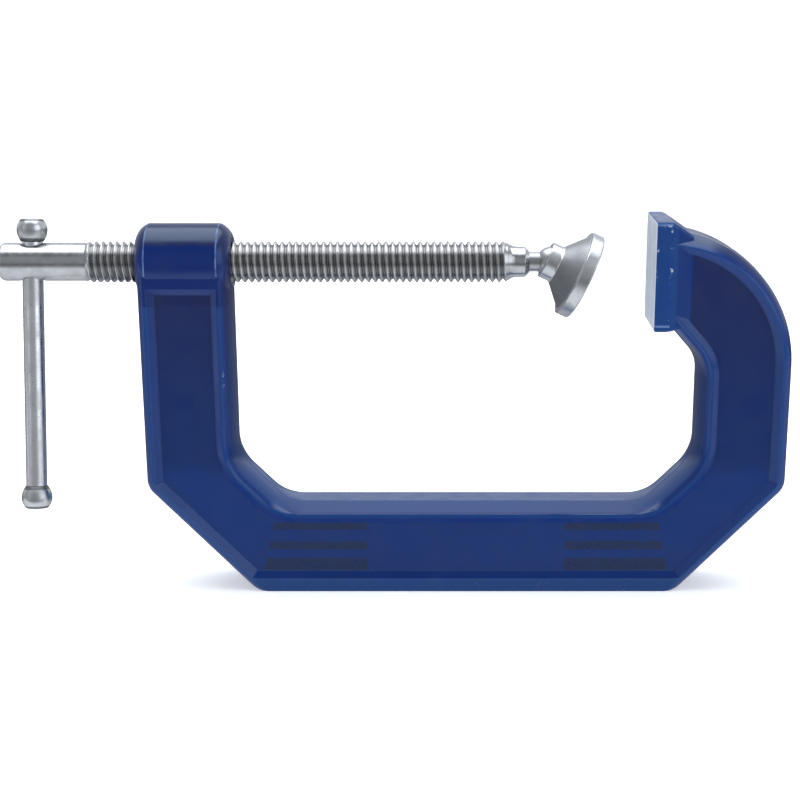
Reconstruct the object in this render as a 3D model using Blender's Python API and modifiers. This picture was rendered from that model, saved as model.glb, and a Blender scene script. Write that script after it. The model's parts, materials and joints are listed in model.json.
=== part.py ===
"""A C clamp: cast frame, feed screw with a swivel pad on a ball, and a sliding tommy bar.

Metres, +Z up. The origin is the centre of the frame's flat foot. +X runs along the screw from
its head to the anvil, and the front of the clamp faces -Y.
"""

import math

import bmesh
import bpy
from mathutils import Vector

MM = 0.001

# Frame: the casting seen from the front
FRAME_LENGTH = 201.4 * MM  # over the outsides of both uprights
UPRIGHT_WIDTH = 28.7 * MM
SPINE_HEIGHT = 26.7 * MM
THROAT_DEPTH = 77.3 * MM  # top of the spine to the screw axis
OUTER_CHAMFER = 33.6 * MM  # run of the slanted cut across each lower corner
INNER_CHAMFER = 15.5 * MM
OUTER_CORNER_RADIUS = 7.0 * MM
INNER_CORNER_RADIUS = 15.0 * MM
ARM_RADIUS = 41.7 * MM  # outside of the bend that carries the anvil
ARM_ABOVE_AXIS = 10.8 * MM

# Frame: the section through a limb
FRAME_DEPTH = 23.0 * MM  # front face to back face
DRAFT = 0.85 * MM  # lean of each edge from the parting line to a face
FOOT_CUT = 0.2 * MM  # depth that dressing the foot flat takes off past the draft
RIM_WIDTH = 2.7 * MM
FOOT_RIM_WIDTH = 4.2 * MM
SPINE_RIM_WIDTH = 1.0 * MM
RECESS_DEPTH = 1.9 * MM
RECESS_LEAN = 2.4 * MM  # lean of a recess wall from its rim to its floor
RECESS_BELOW_AXIS = 6.3 * MM

# Boss and anvil on the frame
BOSS_RADIUS = 11.9 * MM
BOSS_ROUNDING = 3.6 * MM
BOSS_PROUD = 0.4 * MM  # past the upright at each end
MOUTH_CHAMFER = 1.2 * MM  # countersink at each end of the tapped hole
ANVIL_OVERHANG = 2.3 * MM  # anvil face past the centre of the arm's bend
ANVIL_PLATE = 4.8 * MM
ANVIL_SHOULDER = 6.8 * MM  # length of the slope from the plate back to the arm
ANVIL_DEPTH = 24.0 * MM
ANVIL_ABOVE_AXIS = 14.0 * MM
ANVIL_BELOW_AXIS = 19.7 * MM
ANVIL_ROUNDING = 1.0 * MM
SHOULDER_DROP = 4.6 * MM  # fall of the top of the slope
SHOULDER_RISE = 1.6 * MM

# Screw
SCREW_RADIUS = 6.35 * MM
PITCH = 25.4 / 12 * MM
THREAD_DEPTH = 1.15 * MM
THREAD_CREST = 0.15  # flat crest as a share of the pitch
THREAD_CLEARANCE = 0.25 * MM
RUNOUT_TURNS = 1.5
HEAD_RADIUS = 5.85 * MM
HEAD_LENGTH = 25.8 * MM
HEAD_ROUNDING = 1.6 * MM
HEAD_TO_BOSS = 16.25 * MM  # thread left between head and boss as the clamp stands
NOSE_RADIUS = 4.65 * MM
NOSE_LENGTH = 6.8 * MM
NOSE_CHAMFER = 1.3 * MM
FLARE_LENGTH = 3.2 * MM  # concave run from the thread down to the nose

# Ball stud and swivel pad
BALL_RADIUS = 4.7 * MM
BALL_REACH = 6.8 * MM  # end of the nose to the centre of the ball
BALL_TO_ANVIL = 30.65 * MM  # as the clamp stands; the thread is as long as that needs
NECK_RADIUS = 3.0 * MM
SHANK_RADIUS = 2.0 * MM
SHANK_LENGTH = 9.0 * MM
SOCKET_CLEARANCE = 0.25 * MM
PAD_RADIUS = 13.6 * MM
PAD_RIM = 4.0 * MM
PAD_REACH = 11.7 * MM  # centre of the ball to the clamping face
PAD_EDGE = 0.5 * MM
COLLAR_RADIUS = 5.75 * MM
COLLAR_LENGTH = 3.6 * MM
SOCKET_LIP = 1.9 * MM  # how far the collar closes behind the centre of the ball
PAD_SEAT_STEP = 1.4 * MM  # ledge where the cone meets the rim
PAD_DROOP = math.radians(25.0)

# Tommy bar
BAR_RADIUS = 3.175 * MM
BAR_CLEARANCE = 0.35 * MM
BAR_BELOW_AXIS = 69.3 * MM  # screw axis to the lower knob as the bar hangs
BAR_TO_HEAD_END = 9.7 * MM
BAR_LEAN = math.radians(11.0)
KNOB_RADIUS = 4.65 * MM
KNOB_LENGTH = 6.9 * MM
KNOB_END = 0.72  # radius of a knob's ends as a share of its widest
KNOB_WIDEST = 0.55  # height of the widest place as a share of the length
SPIGOT_RADIUS = 2.0 * MM
SPIGOT_LENGTH = 4.8 * MM

# Gaps between pieces that touch
SEAT_GAP = 0.3 * MM
FIT_GAP = 0.15 * MM

# Fineness of the round shapes
ARC_STEP = math.radians(11.25)
THREAD_SIDES = 12
ROUND_SIDES = 24
KNOB_STEPS = 6
EDGE_STEPS = 2
WELD = 0.01 * MM  # points nearer than this become one
LEAST_RADIUS = 0.3 * MM
CUT_PAST = 2.0 * MM  # how far a cutter runs past the face that it opens

# Colours
BLUE = (0.012, 0.033, 0.16)
BRIGHT = (0.62, 0.62, 0.63)
GREY = (0.45, 0.45, 0.46)
PAINT_ROUGHNESS = 0.3
BRIGHT_ROUGHNESS = 0.25
ROLLED_ROUGHNESS = 0.35

# Places that follow from the sizes
AXIS_Z = SPINE_HEIGHT + THROAT_DEPTH
HALF_LENGTH = FRAME_LENGTH / 2
HALF_DEPTH = FRAME_DEPTH / 2
INNER_X = HALF_LENGTH - UPRIGHT_WIDTH
ARM_TOP_Z = AXIS_Z + ARM_ABOVE_AXIS
BEND_X = HALF_LENGTH - ARM_RADIUS
ANVIL_X = BEND_X - ANVIL_OVERHANG
BOSS_LEFT_X = -HALF_LENGTH - BOSS_PROUD
BOSS_RIGHT_X = -INNER_X + BOSS_PROUD
HEAD_END_X = BOSS_LEFT_X - HEAD_TO_BOSS
HEAD_START_X = HEAD_END_X - HEAD_LENGTH
BAR_X = HEAD_START_X + BAR_TO_HEAD_END
BALL_X = ANVIL_X - BALL_TO_ANVIL
NOSE_END_X = BALL_X - BALL_REACH
THREAD_END_X = NOSE_END_X - NOSE_LENGTH
ROOT_RADIUS = SCREW_RADIUS - THREAD_DEPTH


def clear_scene():
    for obj in list(bpy.data.objects):
        bpy.data.objects.remove(obj, do_unlink=True)


def new_collection(name):
    collection = bpy.data.collections.new(name)
    bpy.context.scene.collection.children.link(collection)
    return collection


def new_material(name, colour, roughness, metallic):
    made = bpy.data.materials.new(name)
    made.use_nodes = True
    shader = made.node_tree.nodes["Principled BSDF"]
    shader.inputs["Base Color"].default_value = (*colour, 1.0)
    shader.inputs["Roughness"].default_value = roughness
    shader.inputs["Metallic"].default_value = metallic
    return made


def new_object(name, mesh, collection, material=None):
    obj = bpy.data.objects.new(name, mesh)
    collection.objects.link(obj)
    if material:
        mesh.materials.append(material)
    return obj


def as_tool(obj):
    """Marks a shape that only cuts or joins another one."""
    obj.hide_render = True
    obj.display_type = "WIRE"
    return obj


def mesh_from(name, shape):
    mesh = bpy.data.meshes.new(name)
    shape.to_mesh(mesh)
    shape.free()
    return mesh


def boolean(obj, operation, other):
    step = obj.modifiers.new(f"{operation.title()} {other.name}", "BOOLEAN")
    step.operation = operation
    step.solver = "EXACT"
    step.object = other


def mirror_front_to_back(obj):
    mirror = obj.modifiers.new("Mirror", "MIRROR")
    mirror.use_axis = (False, True, False)
    mirror.merge_threshold = WELD


def turned(name, profile, collection, material=None):
    """A solid turned about its own Z axis from (radius, height), down the outer side."""
    points = [(radius, 0.0, height) for radius, height in profile]
    edges = [(index, index + 1) for index in range(len(points) - 1)]
    mesh = bpy.data.meshes.new(name)
    mesh.from_pydata(points, edges, [])
    obj = new_object(name, mesh, collection, material)
    spin = obj.modifiers.new("Turn", "SCREW")
    spin.steps = ROUND_SIDES
    spin.render_steps = ROUND_SIDES
    spin.use_merge_vertices = True
    spin.merge_threshold = WELD
    return obj


def arc(radius, start, end, centre=(0.0, 0.0)):
    """Points round a centre, from one angle to another."""
    count = max(2, round(abs(end - start) / ARC_STEP))
    angles = [start + (end - start) * index / count for index in range(count + 1)]
    return [(centre[0] + radius * math.cos(a), centre[1] + radius * math.sin(a)) for a in angles]


def rounded_outline(corners):
    """Closed outline through (x, z, radius) corners, each rounded by its radius."""
    outline = []
    for index, (x, z, radius) in enumerate(corners):
        corner = Vector((x, z))
        if radius == 0.0:
            outline.append((x, z))
            continue
        before = (Vector(corners[index - 1][:2]) - corner).normalized()
        after = (Vector(corners[(index + 1) % len(corners)][:2]) - corner).normalized()
        half_angle = before.angle(after) / 2
        centre = corner + (before + after).normalized() * radius / math.sin(half_angle)
        first = corner + before * radius / math.tan(half_angle) - centre
        start = math.atan2(first.y, first.x)
        turn = math.copysign(math.pi - 2 * half_angle, after.cross(before))
        outline += arc(radius, start, start + turn, centre)
    return outline


def inset_corners(corners, insets):
    """Corners with the edge that leaves each one moved in by its own distance."""
    moved = []
    for index, (x, z, radius) in enumerate(corners):
        here = Vector((x, z))
        into = (here - Vector(corners[index - 1][:2])).normalized()
        out = (Vector(corners[(index + 1) % len(corners)][:2]) - here).normalized()
        first, second = insets[index - 1], insets[index]
        bend = into.cross(out)
        shift = (out * first - into * second) / bend
        if radius > 0.0:
            radius -= math.copysign((first + second) / 2, bend)
            radius = max(radius, LEAST_RADIUS)
        moved.append((x + shift.x, z + shift.y, radius))
    return moved


ARM_END = 4  # the corner in the list below where the cut end of the arm begins


def frame_corners(foot_z, left_end_z, arm_end_x):
    """Corners of the casting, anticlockwise from the front, starting at the foot."""
    outer, inner = OUTER_CORNER_RADIUS, INNER_CORNER_RADIUS
    foot_x = HALF_LENGTH - OUTER_CHAMFER
    spine_x = INNER_X - INNER_CHAMFER
    shoulder_z = SPINE_HEIGHT + INNER_CHAMFER
    return [
        (-foot_x, foot_z, outer),
        (foot_x, foot_z, outer),
        (HALF_LENGTH, OUTER_CHAMFER, outer),
        (HALF_LENGTH, ARM_TOP_Z, ARM_RADIUS),
        (arm_end_x, ARM_TOP_Z, 0.0),
        (arm_end_x, ARM_TOP_Z - UPRIGHT_WIDTH, 0.0),
        (INNER_X, ARM_TOP_Z - UPRIGHT_WIDTH, ARM_RADIUS - UPRIGHT_WIDTH),
        (INNER_X, shoulder_z, inner),
        (spine_x, SPINE_HEIGHT, inner),
        (-spine_x, SPINE_HEIGHT, inner),
        (-INNER_X, shoulder_z, inner),
        (-INNER_X, left_end_z, 0.0),
        (-HALF_LENGTH, left_end_z, 0.0),
        (-HALF_LENGTH, OUTER_CHAMFER, outer),
    ]


def loft(back, back_y, front, front_y, closed):
    """A slab between two outlines with like points, listed anticlockwise from the front."""
    shape = bmesh.new()
    behind = [shape.verts.new((x, back_y, z)) for x, z in back]
    before = [shape.verts.new((x, front_y, z)) for x, z in front]
    for index in range(len(behind)):
        shape.faces.new((behind[index - 1], behind[index], before[index], before[index - 1]))
    shape.faces.new(before)
    if closed:
        shape.faces.new(reversed(behind))
    return shape


def build_boss(tools):
    """The barrel that carries the thread, with rounded ends."""
    half = (BOSS_RIGHT_X - BOSS_LEFT_X) / 2
    edge = BOSS_RADIUS - BOSS_ROUNDING
    level = half - BOSS_ROUNDING
    upper = arc(BOSS_ROUNDING, math.pi / 2, 0.0, (edge, level))
    lower = arc(BOSS_ROUNDING, 0.0, -math.pi / 2, (edge, -level))
    boss = as_tool(turned("boss", [(0.0, half), *upper, *lower, (0.0, -half)], tools))
    boss.location = ((BOSS_LEFT_X + BOSS_RIGHT_X) / 2, 0.0, AXIS_Z)
    boss.rotation_euler.y = math.pi / 2
    return boss


def build_anvil(tools):
    """The anvil plate, with a shoulder that slopes back to the arm."""
    height = ANVIL_ABOVE_AXIS + ANVIL_BELOW_AXIS
    shape = bmesh.new()
    bmesh.ops.create_cube(shape, size=1.0)
    bmesh.ops.scale(shape, vec=(ANVIL_PLATE, ANVIL_DEPTH, height), verts=shape.verts)
    bmesh.ops.bevel(
        shape,
        geom=[edge for edge in shape.edges if abs(edge.verts[0].co.x - edge.verts[1].co.x) > MM],
        offset=ANVIL_ROUNDING,
        segments=EDGE_STEPS,
        affect="EDGES",
        profile=0.5,
    )
    back = max(shape.faces, key=lambda face: face.calc_center_median().x)
    grown = bmesh.ops.extrude_discrete_faces(shape, faces=[back])["faces"][0]
    floor_depth = FRAME_DEPTH - 2 * RECESS_DEPTH - 2 * FIT_GAP
    end_height = height - SHOULDER_DROP - SHOULDER_RISE
    bmesh.ops.scale(
        shape,
        vec=(1.0, floor_depth / ANVIL_DEPTH, end_height / height),
        verts=grown.verts,
    )
    slope = (ANVIL_SHOULDER, 0.0, (SHOULDER_RISE - SHOULDER_DROP) / 2)
    bmesh.ops.translate(shape, vec=slope, verts=grown.verts)
    bmesh.ops.recalc_face_normals(shape, faces=shape.faces)
    anvil = as_tool(new_object("anvil", mesh_from("anvil", shape), tools))
    anvil.location.x = ANVIL_X + ANVIL_PLATE / 2
    anvil.location.z = AXIS_Z + (ANVIL_ABOVE_AXIS - ANVIL_BELOW_AXIS) / 2
    return anvil


def build_recess(tools):
    """Cutter for the shallow panels that leave the casting a raised rim, front and back."""
    sides = [RIM_WIDTH] * 3
    rims = [FOOT_RIM_WIDTH + FOOT_CUT, *sides, -CUT_PAST, *sides, SPINE_RIM_WIDTH]
    rims += [RIM_WIDTH, RIM_WIDTH, -DRAFT, RIM_WIDTH, RIM_WIDTH]
    corners = frame_corners(-DRAFT - FOOT_CUT, AXIS_Z - RECESS_BELOW_AXIS, ANVIL_X - CUT_PAST)
    mouth_lean = -CUT_PAST * RECESS_LEAN / RECESS_DEPTH

    def outline(lean):
        return rounded_outline(inset_corners(corners, [rim + DRAFT + lean for rim in rims]))

    floor_y = RECESS_DEPTH - HALF_DEPTH
    mouth_y = -HALF_DEPTH - CUT_PAST
    shape = loft(outline(RECESS_LEAN), floor_y, outline(mouth_lean), mouth_y, closed=True)
    recess = as_tool(new_object("recess", mesh_from("recess", shape), tools))
    mirror_front_to_back(recess)
    return recess


def build_foot_plane(tools):
    """Cutter that dresses the underside of the spine flat."""
    shape = bmesh.new()
    bmesh.ops.create_cube(shape, size=1.0)
    size = (FRAME_LENGTH, 2 * FRAME_DEPTH, SPINE_HEIGHT)
    bmesh.ops.scale(shape, vec=size, verts=shape.verts)
    foot = as_tool(new_object("foot_plane", mesh_from("foot_plane", shape), tools))
    foot.location.z = -SPINE_HEIGHT / 2
    return foot


def threaded_bar(name, start, turns, crest, radius_at, left_rings, right_rings):
    """Mesh of a closed bar along X with a right-hand thread.

    radius_at(x, on_crest) gives the surface, so the thread can fade into plain lengths, which
    is why it is lofted turn by turn. The rings are (x, radius) pairs outwards from the thread.
    """
    shape = bmesh.new()

    def point(x, side, radius):
        angle = math.tau * side / THREAD_SIDES
        return shape.verts.new((x, radius * math.cos(angle), radius * math.sin(angle)))

    def helix(offset, steps, on_crest):
        places = [start + PITCH * (step / THREAD_SIDES + offset) for step in range(steps + 1)]
        return [point(x, step, radius_at(x, on_crest)) for step, x in enumerate(places)]

    def ring(x, radius):
        return [point(x, side, radius) for side in range(THREAD_SIDES)]

    steps = turns * THREAD_SIDES
    roots = helix(0.0, steps + THREAD_SIDES, False)
    rises = helix((1.0 - crest) / 2, steps, True)
    falls = helix((1.0 + crest) / 2, steps, True)
    for low, high in ((roots, rises), (rises, falls), (falls, roots[THREAD_SIDES:])):
        for step in range(steps):
            shape.faces.new((low[step], low[step + 1], high[step + 1], high[step]))

    lefts = [ring(*place) for place in left_rings]
    rights = [ring(*place) for place in right_rings]
    left, right = lefts[0], rights[0]
    last = THREAD_SIDES - 1
    for side in range(last):
        shape.faces.new((left[side], left[side + 1], roots[side + 1], roots[side]))
        place = steps + side + 1
        after = (side + 2) % THREAD_SIDES
        shape.faces.new((roots[place], roots[place + 1], right[after], right[side + 1]))
    # Each end of the helix leaves a step along the bar, which one face takes in.
    left_step = [left[last], left[0], roots[0], rises[0], falls[0], roots[last + 1], roots[last]]
    right_step = [roots[steps], roots[steps + 1], right[1], right[0]]
    right_step += [roots[-1], falls[-1], rises[-1]]
    shape.faces.new(left_step)
    shape.faces.new(right_step)
    for rings in (lefts, rights):
        for near, far in zip(rings, rings[1:]):
            for side in range(THREAD_SIDES):
                after = (side + 1) % THREAD_SIDES
                shape.faces.new((near[side], near[after], far[after], far[side]))
        shape.faces.new(rings[-1])
    bmesh.ops.recalc_face_normals(shape, faces=shape.faces)
    return mesh_from(name, shape)


def build_tap(tools):
    """Cutter for the tapped hole: the screw's own thread, opened by the clearance."""
    # Flat sides cut inside a true circle, so the hole is opened by that much too.
    widen = 1.0 / math.cos(math.pi / THREAD_SIDES)
    crest_radius = (SCREW_RADIUS + THREAD_CLEARANCE) * widen
    root_radius = (ROOT_RADIUS + THREAD_CLEARANCE) * widen
    crest = THREAD_CREST + THREAD_CLEARANCE / PITCH
    turns_before = math.floor((BOSS_LEFT_X - CUT_PAST - HEAD_END_X) / PITCH) - 1
    start = HEAD_END_X + turns_before * PITCH
    turns = math.ceil((BOSS_RIGHT_X + CUT_PAST - start) / PITCH)
    mesh = threaded_bar(
        "tap",
        start,
        turns,
        crest,
        lambda x, on_crest: crest_radius if on_crest else root_radius,
        [(start - PITCH, root_radius)],
        [(start + (turns + 2) * PITCH, root_radius)],
    )
    tap = as_tool(new_object("tap", mesh, tools))
    tap.location.z = AXIS_Z
    return tap


def build_mouth(name, face_x, outwards, tools):
    """Cutter for the countersink where the tapped hole opens."""
    mouth = SCREW_RADIUS + MOUTH_CHAMFER
    length = MOUTH_CHAMFER + CUT_PAST
    wide = mouth + CUT_PAST
    bottom = CUT_PAST - length
    profile = [(0.0, CUT_PAST), (wide, CUT_PAST), (wide - length, bottom), (0.0, bottom)]
    cutter = as_tool(turned(name, profile, tools))
    cutter.location = (face_x, 0.0, AXIS_Z)
    cutter.rotation_euler.y = outwards * math.pi / 2
    return cutter


def build_frame(parts, tools, paint):
    crest = frame_corners(-DRAFT - FOOT_CUT, AXIS_Z, BEND_X - ANVIL_OVERHANG / 2)
    drafts = [DRAFT] * len(crest)
    drafts[ARM_END] = 0.0
    face = inset_corners(crest, drafts)
    shape = loft(rounded_outline(crest), 0.0, rounded_outline(face), -HALF_DEPTH, closed=False)
    frame = new_object("frame", mesh_from("frame", shape), parts, paint)
    mirror_front_to_back(frame)
    boolean(frame, "DIFFERENCE", build_recess(tools))
    boolean(frame, "DIFFERENCE", build_foot_plane(tools))
    boolean(frame, "UNION", build_anvil(tools))
    boolean(frame, "UNION", build_boss(tools))
    boolean(frame, "DIFFERENCE", build_tap(tools))
    boolean(frame, "DIFFERENCE", build_mouth("left_mouth", BOSS_LEFT_X, -1.0, tools))
    boolean(frame, "DIFFERENCE", build_mouth("right_mouth", BOSS_RIGHT_X, 1.0, tools))
    return frame


def screw_surface(x, on_crest):
    """Radius of the screw: full thread that fades into the head and into the nose's flare."""
    run = min(max((x - THREAD_END_X) / FLARE_LENGTH, 0.0), 1.0)
    plain = NOSE_RADIUS + (HEAD_RADIUS - NOSE_RADIUS) * (1.0 - run) ** 2
    rising = (x - HEAD_END_X) / (RUNOUT_TURNS * PITCH)
    falling = (THREAD_END_X - x) / (PITCH / 2)
    fade = min(max(min(rising, falling), 0.0), 1.0)
    thread = SCREW_RADIUS if on_crest else ROOT_RADIUS
    return plain + (thread - plain) * fade


def build_screw(parts, tools, steel, handle_axis):
    # The helix runs a turn or more past the thread at each end, on the plain surface.
    start = HEAD_END_X - PITCH
    turns = math.ceil((THREAD_END_X - start) / PITCH)
    end = start + (turns + 1) * PITCH + SEAT_GAP
    centre = (HEAD_START_X + HEAD_ROUNDING, HEAD_RADIUS - HEAD_ROUNDING)
    rounding = arc(HEAD_ROUNDING, math.pi / 2, math.pi, centre)
    left_rings = [(start - SEAT_GAP, HEAD_RADIUS), *rounding]
    flare_end = max(THREAD_END_X + FLARE_LENGTH, end + SEAT_GAP)
    right_rings = [(end, screw_surface(end, False)), (flare_end, NOSE_RADIUS)]
    right_rings.append((NOSE_END_X - NOSE_CHAMFER, NOSE_RADIUS))
    right_rings.append((NOSE_END_X, NOSE_RADIUS - NOSE_CHAMFER))
    mesh = threaded_bar("screw", start, turns, THREAD_CREST, screw_surface, left_rings, right_rings)
    screw = new_object("screw", mesh, parts, steel)
    screw.location.z = AXIS_Z

    hole = BAR_RADIUS + BAR_CLEARANCE
    reach = HEAD_RADIUS + CUT_PAST
    profile = [(0.0, reach), (hole, reach), (hole, -reach), (0.0, -reach)]
    cross_hole = turned("cross_hole", profile, tools)
    cross_hole.parent = handle_axis
    boolean(screw, "DIFFERENCE", as_tool(cross_hole))

    bore = SHANK_RADIUS + FIT_GAP
    depth = SHANK_LENGTH + FIT_GAP
    profile = [(0.0, CUT_PAST), (bore, CUT_PAST), (bore, -depth), (0.0, -depth)]
    shank_hole = turned("shank_hole", profile, tools)
    shank_hole.location = (NOSE_END_X, 0.0, AXIS_Z)
    shank_hole.rotation_euler.y = math.pi / 2
    boolean(screw, "DIFFERENCE", as_tool(shank_hole))
    return screw


def build_ball_stud(parts, steel):
    """Ball, neck and the shank that sits in the nose of the screw, drawn up from the shank."""
    meet = -math.acos(NECK_RADIUS / BALL_RADIUS)
    foot = -BALL_REACH + FIT_GAP
    profile = [
        *arc(BALL_RADIUS, math.pi / 2, meet),
        (NECK_RADIUS, foot),
        (SHANK_RADIUS, foot),
        (SHANK_RADIUS, foot - SHANK_LENGTH),
        (0.0, foot - SHANK_LENGTH),
    ]
    stud = turned("ball_stud", profile, parts, steel)
    stud.location = (BALL_X, 0.0, AXIS_Z)
    stud.rotation_euler.y = math.pi / 2
    return stud


def build_swivel_pad(parts, steel):
    """Pressure pad drawn with its clamping face up and its socket open below."""
    socket = BALL_RADIUS + SOCKET_CLEARANCE
    rim_back = PAD_REACH - PAD_RIM
    collar_top = COLLAR_LENGTH - SOCKET_LIP
    lip_angle = -math.asin(SOCKET_LIP / socket)
    profile = [
        (0.0, PAD_REACH),
        (PAD_RADIUS - PAD_EDGE, PAD_REACH),
        (PAD_RADIUS, PAD_REACH - PAD_EDGE),
        (PAD_RADIUS, rim_back),
        (PAD_RADIUS - PAD_SEAT_STEP, rim_back),
        (COLLAR_RADIUS, collar_top),
        (COLLAR_RADIUS, -SOCKET_LIP),
        *arc(socket, lip_angle, math.pi / 2),
    ]
    pad = turned("swivel_pad", profile, parts, steel)
    pad.location = (BALL_X, 0.0, AXIS_Z)
    pad.rotation_euler.y = math.pi / 2 + PAD_DROOP
    return pad


def knob_profile():
    """Barrel, fuller towards its outer end, with a blind hole for the bar's spigot."""
    barrel = []
    for index in range(KNOB_STEPS + 1):
        height = 1.0 - index / KNOB_STEPS
        span = 1.0 - KNOB_WIDEST if height > KNOB_WIDEST else KNOB_WIDEST
        fall = ((height - KNOB_WIDEST) / span) ** 2
        barrel.append((KNOB_RADIUS * (1.0 - (1.0 - KNOB_END) * fall), height * KNOB_LENGTH))
    hole = SPIGOT_RADIUS + FIT_GAP
    depth = SPIGOT_LENGTH + FIT_GAP
    return [(0.0, KNOB_LENGTH), *barrel, (hole, 0.0), (hole, depth), (0.0, depth)]


def build_handle(parts, steel, handle_axis):
    """The tommy bar and its two knobs, on the axis of the hole through the head."""
    upper_seat = HEAD_RADIUS + SEAT_GAP
    lower_seat = -BAR_BELOW_AXIS
    upper_shoulder = upper_seat - FIT_GAP
    lower_shoulder = lower_seat + FIT_GAP
    profile = [
        (0.0, upper_shoulder + SPIGOT_LENGTH),
        (SPIGOT_RADIUS, upper_shoulder + SPIGOT_LENGTH),
        (SPIGOT_RADIUS, upper_shoulder),
        (BAR_RADIUS, upper_shoulder),
        (BAR_RADIUS, lower_shoulder),
        (SPIGOT_RADIUS, lower_shoulder),
        (SPIGOT_RADIUS, lower_shoulder - SPIGOT_LENGTH),
        (0.0, lower_shoulder - SPIGOT_LENGTH),
    ]
    bar = turned("handle_bar", profile, parts, steel)
    upper = turned("handle_knob_upper", knob_profile(), parts, steel)
    lower = turned("handle_knob_lower", knob_profile(), parts, steel)
    upper.location.z = upper_seat
    lower.location.z = lower_seat
    lower.rotation_euler.x = math.pi
    for piece in (bar, upper, lower):
        piece.parent = handle_axis


def main():
    clear_scene()
    parts = new_collection("C clamp")
    tools = new_collection("C clamp tools")
    paint = new_material("blue_enamel", BLUE, PAINT_ROUGHNESS, 0.0)
    bright = new_material("bright_steel", BRIGHT, BRIGHT_ROUGHNESS, 1.0)
    rolled = new_material("rolled_steel", GREY, ROLLED_ROUGHNESS, 1.0)

    handle_axis = new_object("handle_axis", None, parts)
    handle_axis.location = (BAR_X, 0.0, AXIS_Z)
    handle_axis.rotation_euler.x = -BAR_LEAN

    build_frame(parts, tools, paint)
    build_screw(parts, tools, rolled, handle_axis)
    build_ball_stud(parts, rolled)
    build_swivel_pad(parts, bright)
    build_handle(parts, bright, handle_axis)


main()
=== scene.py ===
"""Looks of the C clamp: a finer mesh for each piece, enamel and steel, studio light and camera."""

import json
import math

import bmesh
import bpy
from mathutils import Matrix, Vector


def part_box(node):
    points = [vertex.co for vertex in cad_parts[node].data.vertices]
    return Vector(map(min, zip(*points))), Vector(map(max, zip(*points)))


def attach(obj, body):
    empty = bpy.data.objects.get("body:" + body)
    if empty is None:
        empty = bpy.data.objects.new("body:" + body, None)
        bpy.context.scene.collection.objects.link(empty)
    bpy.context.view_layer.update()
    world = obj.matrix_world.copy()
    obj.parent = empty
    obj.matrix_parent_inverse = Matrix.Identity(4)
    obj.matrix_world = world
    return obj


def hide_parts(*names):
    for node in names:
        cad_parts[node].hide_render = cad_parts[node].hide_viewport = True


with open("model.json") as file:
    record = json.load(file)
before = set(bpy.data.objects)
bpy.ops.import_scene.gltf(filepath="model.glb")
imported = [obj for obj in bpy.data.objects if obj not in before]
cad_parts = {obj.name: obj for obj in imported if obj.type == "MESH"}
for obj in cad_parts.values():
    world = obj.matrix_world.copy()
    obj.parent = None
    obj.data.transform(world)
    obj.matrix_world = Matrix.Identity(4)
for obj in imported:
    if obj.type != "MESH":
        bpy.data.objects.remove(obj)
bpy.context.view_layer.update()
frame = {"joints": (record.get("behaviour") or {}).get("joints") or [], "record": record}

MM = 0.001

# Places read from the frame
JOINTS = {joint["name"]: joint for joint in frame["joints"]}
MOUNTS = {mount["name"]: mount for mount in frame["record"]["mounts"]}
AXIS_Z = JOINTS["screw_turn"]["pos_m"][2]
BALL_X = JOINTS["pad_tilt"]["pos_m"][0]
BAR_AXIS = Vector(JOINTS["handle_slide"]["axis"])
PAD_AXIS = Vector(MOUNTS["pad_face"]["axis"])
FRAME_LOW, FRAME_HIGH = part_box("frame")
SCREW_LOW, SCREW_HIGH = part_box("screw")
BAR_LOW, BAR_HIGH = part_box("handle_bar")
HALF_LENGTH = FRAME_HIGH.x
ANVIL_TOP_Z = FRAME_HIGH.z
HALF_ANVIL_DEPTH = FRAME_HIGH.y
BOSS_LEFT_X = FRAME_LOW.x
HEAD_START_X = SCREW_LOW.x
NOSE_END_X = SCREW_HIGH.x
BAR_X = (BAR_LOW.x + BAR_HIGH.x) / 2

# Frame seen from the front
UPRIGHT_WIDTH = 28.7 * MM
SPINE_HEIGHT = 26.7 * MM
OUTER_CHAMFER = 33.6 * MM  # run of the slanted cut across each lower corner
INNER_CHAMFER = 15.5 * MM
OUTER_CORNER_RADIUS = 7.0 * MM
INNER_CORNER_RADIUS = 15.0 * MM
ARM_RADIUS = 41.7 * MM  # outside of the bend that carries the anvil
ARM_ABOVE_AXIS = 10.8 * MM
SLOPE_TOP_BELOW_AXIS = 13.8 * MM  # the arm's underside slopes from the anvil to the upright
SLOPE_END_BELOW_AXIS = 30.0 * MM
SLOPE_RADIUS = 12.5 * MM
INNER_X = HALF_LENGTH - UPRIGHT_WIDTH
ARM_TOP_Z = AXIS_Z + ARM_ABOVE_AXIS
BEND_X = HALF_LENGTH - ARM_RADIUS

# Section through a limb
HALF_DEPTH = 11.5 * MM
DRAFT = 0.85 * MM  # lean of each edge from the parting line to a face
FOOT_CUT = 0.2 * MM  # depth that dressing the foot flat takes off past the draft
RIM_WIDTH = 2.7 * MM
FOOT_RIM_WIDTH = 4.2 * MM
SPINE_RIM_WIDTH = 1.0 * MM
ARM_END_RIM_WIDTH = 0.5 * MM
RECESS_DEPTH = 1.9 * MM
RECESS_LEAN = 2.4 * MM  # lean of a recess wall from its rim to its floor
RECESS_BELOW_AXIS = 6.3 * MM
LIP_LEAN = 0.36 * MM  # steep lips where the recess wall leaves the rim and meets the floor
LIP_DEPTH = 0.4 * MM
EDGE_ROUNDING = 0.8 * MM  # along the top of the spine and the foot
OUTER_ROLL = 4.0 * MM  # depth over which the outer rims round over
ARM_SLOPE_DEPTH = 4.6 * MM  # depth over which the rim along the arm's top slopes to the front
ARM_SLOPE_BEND = 1.2  # how hollow that slope is, where 1 is straight
GROOVE_DEPTH = 0.12 * MM  # of the parting line
HALF_GROOVE = 0.3 * MM

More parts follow.
